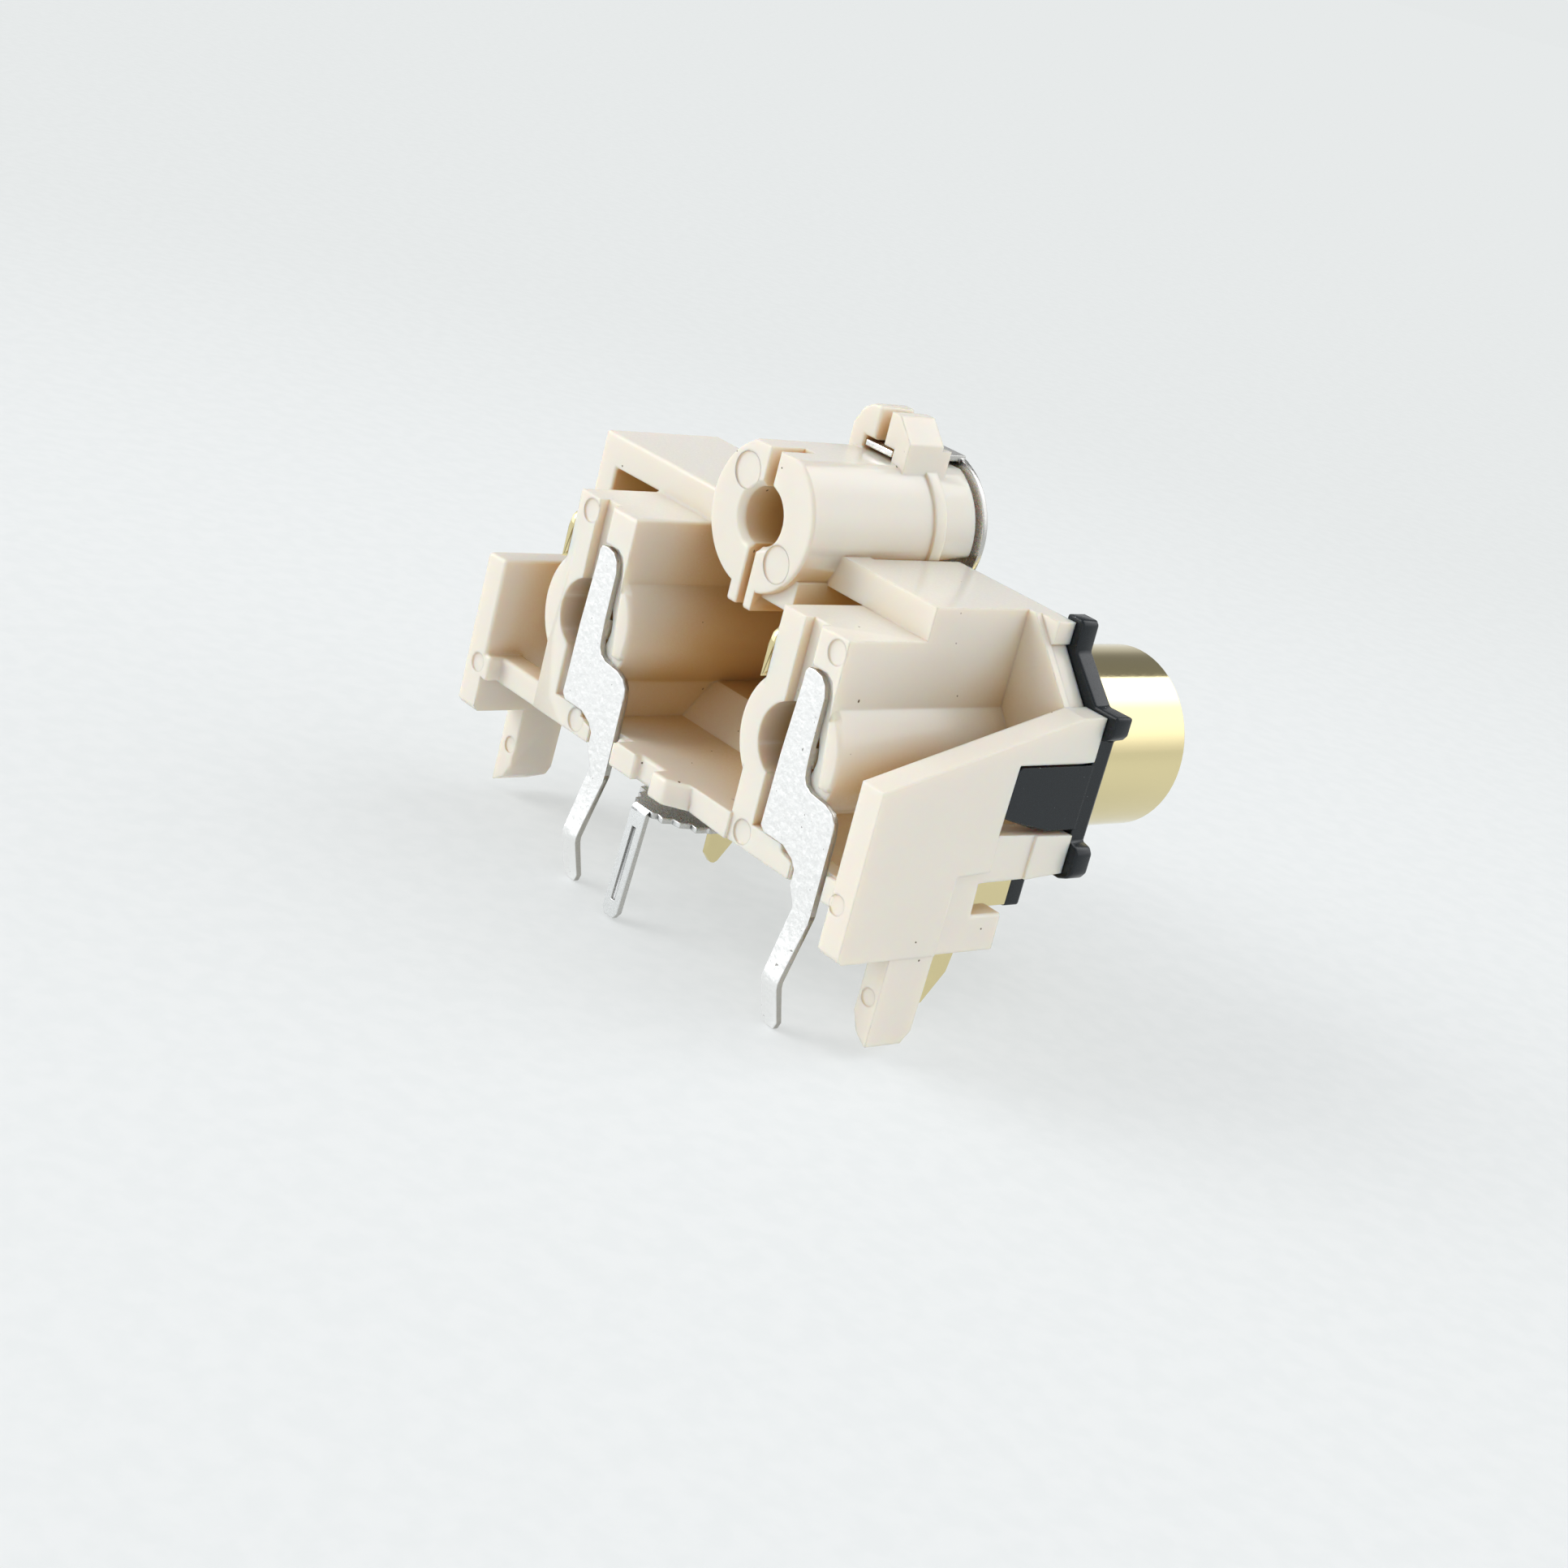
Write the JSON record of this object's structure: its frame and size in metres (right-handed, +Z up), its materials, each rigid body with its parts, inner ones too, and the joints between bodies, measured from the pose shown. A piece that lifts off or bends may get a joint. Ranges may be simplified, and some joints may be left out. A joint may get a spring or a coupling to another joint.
{
  "type": "two-way phono jack block",
  "caption": "Right-angle board block with side-by-side phono (RCA) jacks, gold sleeves, a slotted screw boss on top and an earth plate.",
  "frame": {"origin": "on the top face of the circuit board, in the middle between the two jacks, in line with the rear faces of the jack blocks", "axes": "-Y forward out of the sleeves, +Z up from the board, +X to the block's left-hand side as seen from the rear"},
  "size_m": [0.0294, 0.0214, 0.024],
  "materials": {
    "ivory_plastic": "glossy moulded thermoplastic",
    "black_plastic": "semi-matt moulded plastic",
    "gold_plate": "bright gold plating on brass",
    "silver_plate": "satin silver plating",
    "tin_plate": "bright tin plating on steel"
  },
  "bodies": {
    "root": {"housing": "ivory_plastic", "front_plate": "black_plastic", "shell_left": "gold_plate", "shell_right": "gold_plate", "contact_left": "silver_plate", "contact_right": "silver_plate", "earth_plate": "tin_plate"}
  },
  "joints": []
}
